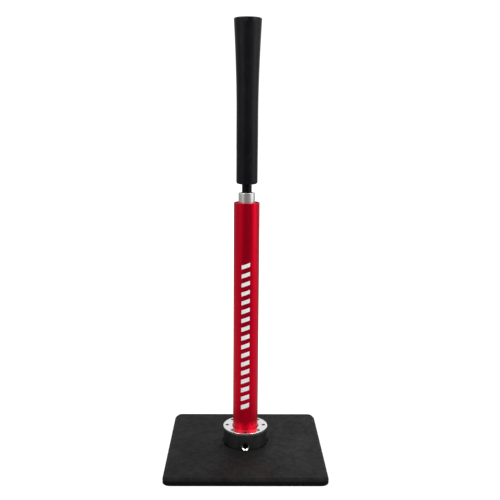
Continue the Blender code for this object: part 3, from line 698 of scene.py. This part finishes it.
def make_sole(look):
    """Non-slip sheet under the base, ribbed from side to side."""
    pitch = 3.0 * MM
    groove = 0.5 * MM
    flank = 0.25 * MM
    half = SOLE_SIDE / 2
    ribs = int(SOLE_SIDE // pitch) - 2
    first = -ribs * pitch / 2
    profile = [(-half, SOLE_HIGH.z), (-half, 0.0)]
    for rib in range(ribs):
        x = first + rib * pitch
        profile += [(x, 0.0), (x + flank, groove), (x + pitch / 2 - flank, groove), (x + pitch / 2, 0.0)]
    profile += [(half, 0.0), (half, SOLE_HIGH.z)]
    bm = bmesh.new()
    stacked(bm, [[(x, y, z) for x, z in profile] for y in (-half, half)])
    sole = link("sole_mat_ribbed", to_mesh(bm, "sole_mat_ribbed"), look, (0.0, 0.0, 0.0))
    corner = SLAB_CORNER / 2 - GAP
    bm = bmesh.new()
    stacked(bm, [rounded_square(SOLE_SIDE, corner, z) for z in (-PAST, SOLE_HIGH.z + PAST)])
    cut(sole, link("cutter", to_mesh(bm, "sole_outline"), None, (0.0, 0.0, 0.0)), "INTERSECT")
    stand_for(sole, "base", "sole_mat")


def make_hub(look, bare):
    """Black hub. The chamfer of its cross hole is cut after anodising, so it is bare metal."""
    bore = TUBE_RADIUS + GAP
    floor = HUB_BOTTOM + HUB_FLOOR
    corners = [
        (0.0, HUB_BOTTOM, 0.0), (HUB_RADIUS, HUB_BOTTOM, 0.5 * MM), (HUB_RADIUS, HUB_TOP, 0.6 * MM),
        (bore, HUB_TOP, 0.2 * MM), (bore, floor, 0.0), (0.0, floor, 0.0),
    ]
    hub = turned("hub_turned", softened(corners), look, FINEST)

    hole = SCREW_RADIUS + GAP
    depth = SCREW_LENGTH - (RING_TOP - HUB_TOP) + PAST
    tapped = [(0.0, -depth), (hole, -depth), (hole, PAST), (0.0, PAST)]
    cut(hub, drills(tapped, round_the_post(RING_SCREWS, SCREW_CIRCLE, HUB_TOP), look))

    hole = HUB_BOLT_RADIUS + GAP
    tapped = [(0.0, -PAST), (hole, -PAST), (hole, HUB_BOLT_REACH), (0.0, HUB_BOLT_REACH)]
    cut(hub, drills(tapped, round_the_post(HUB_BOLTS, HUB_BOLT_CIRCLE, HUB_BOTTOM, HUB_BOLT_TURN), look))

    outwards = Matrix.Translation((0.0, 0.0, CROSS_HEIGHT)) @ Matrix.Rotation(math.radians(90), 4, "X")
    end = HUB_RADIUS + PAST
    straight = [(0.0, bore - PAST), (CROSS_RADIUS, bore - PAST), (CROSS_RADIUS, end), (0.0, end)]
    cut(hub, drills(straight, [outwards], look, DRILLED))
    mouth = CROSS_RADIUS + CROSS_CHAMFER + PAST
    chamfer = [(0.0, end - mouth), (mouth, end), (0.0, end)]
    cut(hub, drills(chamfer, [outwards], bare, DRILLED))
    stand_for(hub, "base", "hub")


def make_clamp_ring(look):
    """Silver ring, countersunk for its screws, with a bevelled bore round the tube."""
    bore = TUBE_RADIUS + GAP
    lead = 1.2 * MM
    corners = [
        (bore, RING_BOTTOM, 0.0), (RING_RADIUS, RING_BOTTOM, 0.3 * MM), (RING_RADIUS, RING_TOP, 0.45 * MM),
        (bore + lead, RING_TOP, 0.15 * MM), (bore, RING_TOP - lead, 0.15 * MM),
    ]
    ring = turned("clamp_ring_turned", softened(corners), look, FINEST)
    drill = countersink(SCREW_RADIUS, SCREW_HEAD, SCREW_SUNK, RING_TOP - RING_BOTTOM)
    cut(ring, drills(drill, round_the_post(RING_SCREWS, SCREW_CIRCLE, RING_TOP), look, SUNK))
    stand_for(ring, "base", "clamp_ring")


def socket_screw(name, corners, socket, depth, look):
    """Mesh of a screw that points down -Z, its top at height 0 with a hexagon socket, from tip to top."""
    bm = bmesh.new()
    lead = 0.12 * socket
    loops = [circle(radius, height) for radius, height in softened(corners, 3)]
    loops += [hexagon(socket + lead, 0.0), hexagon(socket, -lead), hexagon(socket, -depth)]
    stacked(bm, loops)
    mesh = to_mesh(bm, name)
    mesh.materials.append(look)
    return mesh


def make_ring_screws(look):
    """Countersunk screws, each left at its own angle."""
    corners = [
        (0.8 * SCREW_RADIUS, -SCREW_LENGTH, 0.0), (SCREW_RADIUS, HEAD_EDGE - SCREW_LENGTH, 0.0),
        (SCREW_RADIUS, -HEAD_EDGE - (SCREW_HEAD - SCREW_RADIUS), 0.0), (SCREW_HEAD, -HEAD_EDGE, 0.0),
        (SCREW_HEAD, 0.0, 0.12 * MM), (SCREW_SOCKET / 2, 0.0, 0.0),
    ]
    mesh = socket_screw("ring_screw", corners, SCREW_SOCKET, SCREW_SOCKET / 2, look)
    for i in range(RING_SCREWS):
        angle = math.tau * i / RING_SCREWS
        spot = Vector((math.cos(angle), math.sin(angle), 0.0)) * SCREW_CIRCLE
        at = POST + spot + Vector((0.0, 0.0, RING_TOP - SCREW_SUNK))
        screw = link(f"ring_screw_{i + 1}_made", mesh, look, at, (0.0, 0.0, 1.3 * angle))
        stand_for(screw, "base", f"ring_screw_{i + 1}")


def make_set_screw(look):
    """Grub screw in the cross hole, its socket facing the front."""
    low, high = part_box("set_screw")
    radius = (high.x - low.x) / 2
    length = high.y - low.y
    c = 0.5 * MM
    corners = [
        (radius - 2 * c, -length, 0.0), (radius, -length + 2 * c, 0.0), (radius, 0.0, c),
        (0.62 * SET_SOCKET, 0.0, 0.0),
    ]
    mesh = socket_screw("set_screw", corners, SET_SOCKET, SET_SOCKET, look)
    at = (POST.x, low.y, CROSS_HEIGHT)
    screw = link("set_screw_made", mesh, look, at, (math.radians(90), 0.0, 0.0))
    stand_for(screw, "screw", "set_screw")


# ---------------------------------------------------------------- post
def make_tube(name, node, body, wall, fillet, look):
    """One of the post's tubes, with its edges broken."""
    radius, low, high = turned_size(node)
    tube = turned(name, softened(tube_corners(radius - wall, radius, low, high, fillet)), look)
    stand_for(tube, body, node)


def make_bush(node, body, bore, look):
    """Plastic guide bush in a tube's mouth, with a rounded lead at its bore."""
    radius, low, high = turned_size(node)
    corners = [
        (bore, low, 0.3 * MM), (radius, low, 0.3 * MM), (radius, high, 0.4 * MM), (bore, high, 0.7 * MM),
    ]
    stand_for(turned(f"{node}_moulded", softened(corners), look, MEDIUM), body, node)


def make_shaft(look):
    """Black shaft, tapped at both ends."""
    hole = SHAFT_TAP_RADIUS
    depth = SHAFT_TAP_DEPTH
    corners = [
        (0.0, SHAFT_BOTTOM + depth, 0.0), (hole, SHAFT_BOTTOM + depth, 0.0), (hole, SHAFT_BOTTOM, 0.3 * MM),
        (SHAFT_RADIUS, SHAFT_BOTTOM, 0.8 * MM), (SHAFT_RADIUS, SHAFT_TOP, 0.8 * MM),
        (hole, SHAFT_TOP, 0.3 * MM), (hole, SHAFT_TOP - depth, 0.0), (0.0, SHAFT_TOP - depth, 0.0),
    ]
    shaft = turned("inner_shaft_turned", softened(corners), look)
    stand_for(shaft, "shaft_stage", "inner_shaft")


def cone_reach(height):
    """Outer radius of the cone: straight below, then a trumpet flare up to the mouth."""
    rise = max(0.0, (height - CONE_FLARE_START) / (CONE_TOP - CONE_FLARE_START))
    return CONE_STRAIGHT + (CONE_MOUTH_RADIUS - CONE_STRAIGHT) * rise ** CONE_FLARE_POWER


def make_cone(look):
    """Flexible rubber cone with a soft foot, an open top and a rounded rim that holds the ball."""
    lip = 1.6 * MM
    steps = 30
    rim_base = CONE_TOP - lip
    flare = [CONE_FLARE_START + (rim_base - CONE_FLARE_START) * i / steps for i in range(steps + 1)]
    reach = cone_reach(rim_base)
    slack = CONE_STRAIGHT - CONE_WALL - CONE_BORE
    corners = [(CONE_BORE, CONE_BOTTOM, 0.5 * MM), (CONE_STRAIGHT, CONE_BOTTOM, CONE_FOOT)]
    outline = softened(corners + [(CONE_STRAIGHT, CONE_FLARE_START, 0.0)], 8)[:-1]
    outline += [(cone_reach(height), height) for height in flare]
    outline += arc((reach - lip, rim_base), lip, 8, 90, 8)
    outline += arc((reach - CONE_WALL + lip, rim_base), lip, 90, 172, 8)
    outline += [(cone_reach(height) - CONE_WALL, height) for height in reversed(flare)]
    outline += [(CONE_BORE + slack, CONE_FLARE_START - 10 * MM), (CONE_BORE, CONE_FLARE_START - 14 * MM)]
    stand_for(turned("ball_cone_moulded", outline, look), "shaft_stage", "ball_cone")


def make_print(look):
    """A column of slanted bars wrapped on the front of the red tube, as a thin film of ink."""
    inside = TUBE_RADIUS + PRINT_LIFT
    outside = inside + PRINT_FILM
    pitch = (PRINT_HIGH - PRINT_LOW - PRINT_SLANT) / (PRINT_BARS - 1 + PRINT_THINNEST)
    for bar in range(PRINT_BARS):
        low = PRINT_LOW + bar * pitch
        share_of_pitch = PRINT_THICKEST + (PRINT_THINNEST - PRINT_THICKEST) * bar / (PRINT_BARS - 1)
        bm = bmesh.new()
        grid = []
        for radius in (inside, outside):
            for rise in (0.0, share_of_pitch * pitch):
                row = []
                for step in range(PRINT_STEPS + 1):
                    share = step / PRINT_STEPS
                    angle = PRINT_TURN + (share - 0.5) * PRINT_WIDTH / TUBE_RADIUS
                    x = radius * math.sin(angle)
                    y = -radius * math.cos(angle)
                    row.append(bm.verts.new((x, y, low + rise + share * PRINT_SLANT)))
                grid.append(row)
        inner_low, inner_high, outer_low, outer_high = grid
        sheets = (
            (outer_low, outer_high), (inner_high, inner_low),
            (inner_low, outer_low), (outer_high, inner_high),
        )
        for first, second in sheets:
            for i in range(PRINT_STEPS):
                bm.faces.new((first[i], first[i + 1], second[i + 1], second[i]))
        for i in (0, PRINT_STEPS):
            bm.faces.new((inner_low[i], inner_high[i], outer_high[i], outer_low[i]))
        piece = link(f"print_bar_{bar + 1:02d}", to_mesh(bm, "print_bar"), look)
        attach(piece, "base")


# ---------------------------------------------------------------- studio
def aim(thing, at, target):
    thing.location = at
    thing.rotation_euler = (Vector(target) - Vector(at)).to_track_quat("-Z", "Y").to_euler()


def softbox(name, at, target, width, height, power):
    light = bpy.data.lights.new(name, "AREA")
    light.shape = "RECTANGLE"
    light.size = width
    light.size_y = height
    light.energy = power
    lamp = bpy.data.objects.new(name, light)
    bpy.context.scene.collection.objects.link(lamp)
    lamp.visible_camera = False
    aim(lamp, at, target)


def make_world():
    """Soft surroundings, brightest above and behind the tee. The camera itself sees plain white."""
    world = bpy.data.worlds.new("studio")
    bpy.context.scene.world = world
    world.use_nodes = True
    nodes = world.node_tree.nodes
    links = world.node_tree.links
    room = nodes["Background"]
    output = nodes["World Output"]
    way = nodes.new("ShaderNodeTexCoord")
    parts = nodes.new("ShaderNodeSeparateXYZ")
    links.new(way.outputs["Generated"], parts.inputs["Vector"])
    total = None
    for axis, weight in ROOM_SLOPE.items():
        share = nodes.new("ShaderNodeMath")
        share.operation = "MULTIPLY_ADD"
        links.new(parts.outputs[axis], share.inputs[0])
        share.inputs[1].default_value = weight
        if total is None:
            share.inputs[2].default_value = ROOM_LEVEL
        else:
            links.new(total, share.inputs[2])
        total = share.outputs["Value"]
    floor = nodes.new("ShaderNodeMath")
    floor.operation = "MAXIMUM"
    floor.inputs[1].default_value = ROOM_LEAST
    links.new(total, floor.inputs[0])
    links.new(floor.outputs["Value"], room.inputs["Strength"])
    backdrop = nodes.new("ShaderNodeBackground")
    backdrop.inputs["Strength"].default_value = BACKDROP
    backdrop.inputs["Color"].default_value = (1.0, 1.0, 1.0, 1.0)
    room.inputs["Color"].default_value = (1.0, 1.0, 1.0, 1.0)
    seen = nodes.new("ShaderNodeLightPath")
    mix = nodes.new("ShaderNodeMixShader")
    links.new(seen.outputs["Is Camera Ray"], mix.inputs["Fac"])
    links.new(room.outputs["Background"], mix.inputs[1])
    links.new(backdrop.outputs["Background"], mix.inputs[2])
    links.new(mix.outputs["Shader"], output.inputs["Surface"])


def make_floor():
    """Plain floor just under the sole. A glow that only the camera sees keeps it white."""
    look = Look("studio_floor", (0.7, 0.7, 0.7), 0.9)
    look.set("Specular IOR Level", 0.1)
    paper = look.span(look.axis("Y"), *FLOOR_FRONT, smooth=True)
    look.colour(look.tint(paper, (0.12, 0.12, 0.12), (0.42, 0.42, 0.42)))
    far = look.nodes.new("ShaderNodeVectorMath")
    far.operation = "LENGTH"
    look.join(look.place, far.inputs[0])
    glow = look.span(far.outputs["Value"], FLOOR_NEAR, FLOOR_FAR, FLOOR_GLOW, BACKDROP, smooth=True)
    seen = look.nodes.new("ShaderNodeLightPath").outputs["Is Camera Ray"]
    look.set("Emission Color", (1.0, 1.0, 1.0, 1.0))
    look.join(look.sums("MULTIPLY", glow, seen), look.shader.inputs["Emission Strength"])
    bm = bmesh.new()
    bmesh.ops.create_grid(bm, x_segments=1, y_segments=1, size=FLOOR_HALF)
    mesh = bpy.data.meshes.new("studio_floor")
    bm.to_mesh(mesh)
    bm.free()
    link("studio_floor", mesh, look.material, (0.0, 0.0, -0.05 * MM))


def make_camera():
    """The photographer's place: in front, a little left of the tee, looking slightly down."""
    camera = bpy.data.objects.new("camera", bpy.data.cameras.new("camera"))
    bpy.context.scene.collection.objects.link(camera)
    camera.data.lens = CAMERA_LENS
    camera.data.sensor_width = 36.0
    heading = Matrix.Rotation(math.radians(-CAMERA_HEADING), 4, "Z")
    tilt = Matrix.Rotation(math.radians(90.0 - CAMERA_PITCH), 4, "X")
    roll = Matrix.Rotation(math.radians(CAMERA_ROLL), 4, "Z")
    camera.matrix_world = Matrix.Translation(CAMERA_AT) @ heading @ tilt @ roll
    bpy.context.scene.camera = camera


# ---------------------------------------------------------------- assembly
def main():
    scene = bpy.context.scene
    scene.view_settings.view_transform = "Standard"
    make_camera()
    make_world()
    make_floor()
    for name, setting in SOFTBOXES.items():
        softbox(name, *setting)

    silver = turned_silver()
    bare = turned_silver("bare_aluminium", (0.86, 0.86, 0.85), (0.16, 0.26))
    black = black_anodised()
    oxide = screw_black()
    acetal = plastic("black_acetal", (0.004, 0.004, 0.004), 0.55, 0.12)
    zinc = bright_steel()
    seal = seal_rubber()
    nylon = plastic("grey_nylon", (0.18, 0.18, 0.18), 0.55)

    make_slab(slab_rubber())
    make_sole(sole_rubber())
    make_hub(black, bare)
    make_clamp_ring(faced_silver())
    make_ring_screws(oxide)
    make_set_screw(oxide)
    make_tube("outer_tube_drawn", "outer_tube", "base", TUBE_WALL, 0.5 * MM, red_anodised())
    make_bush("outer_guide_bush", "base", MIDDLE_RADIUS + BUSH_SLACK, acetal)
    make_tube(
        "middle_tube_turned", "middle_tube", "middle_stage", MIDDLE_WALL, 0.6 * MM, silver
    )
    make_bush("middle_guide_bush", "middle_stage", SHAFT_RADIUS + BUSH_SLACK, acetal)
    # The shaft gets the hub's anodising darkened to 0.12: painted shade for where it sits in shadow between
    # cone and tube
    make_shaft(black_anodised("shaft_anodised_painted_shade", painted_shade_scale=0.12))
    make_cone(cone_rubber())
    make_print(white_ink())

    inner = {
        weight_steel(): ("steel_plate",),
        brass(): ("set_screw_tip",),
        oxide: tuple(f"hub_bolt_{i + 1}" for i in range(HUB_BOLTS)),
        seal: (
            "foot_bumper", "outer_grip_ring", "middle_grip_ring", "middle_piston_ring_1",
            "middle_piston_ring_2", "shaft_piston_ring_1", "shaft_piston_ring_2",
        ),
        acetal: ("middle_piston", "shaft_piston", "cone_adapter"),
        zinc: (
            "middle_piston_pin", "shaft_piston_washer", "shaft_piston_screw",
            "adapter_washer", "adapter_screw",
        ),
        nylon: ("foot_plug", "outer_stop_tube", "middle_stop_tube"),
    }
    for look, nodes in inner.items():
        for node in nodes:
            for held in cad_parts[node].material_slots:
                held.material = look


main()
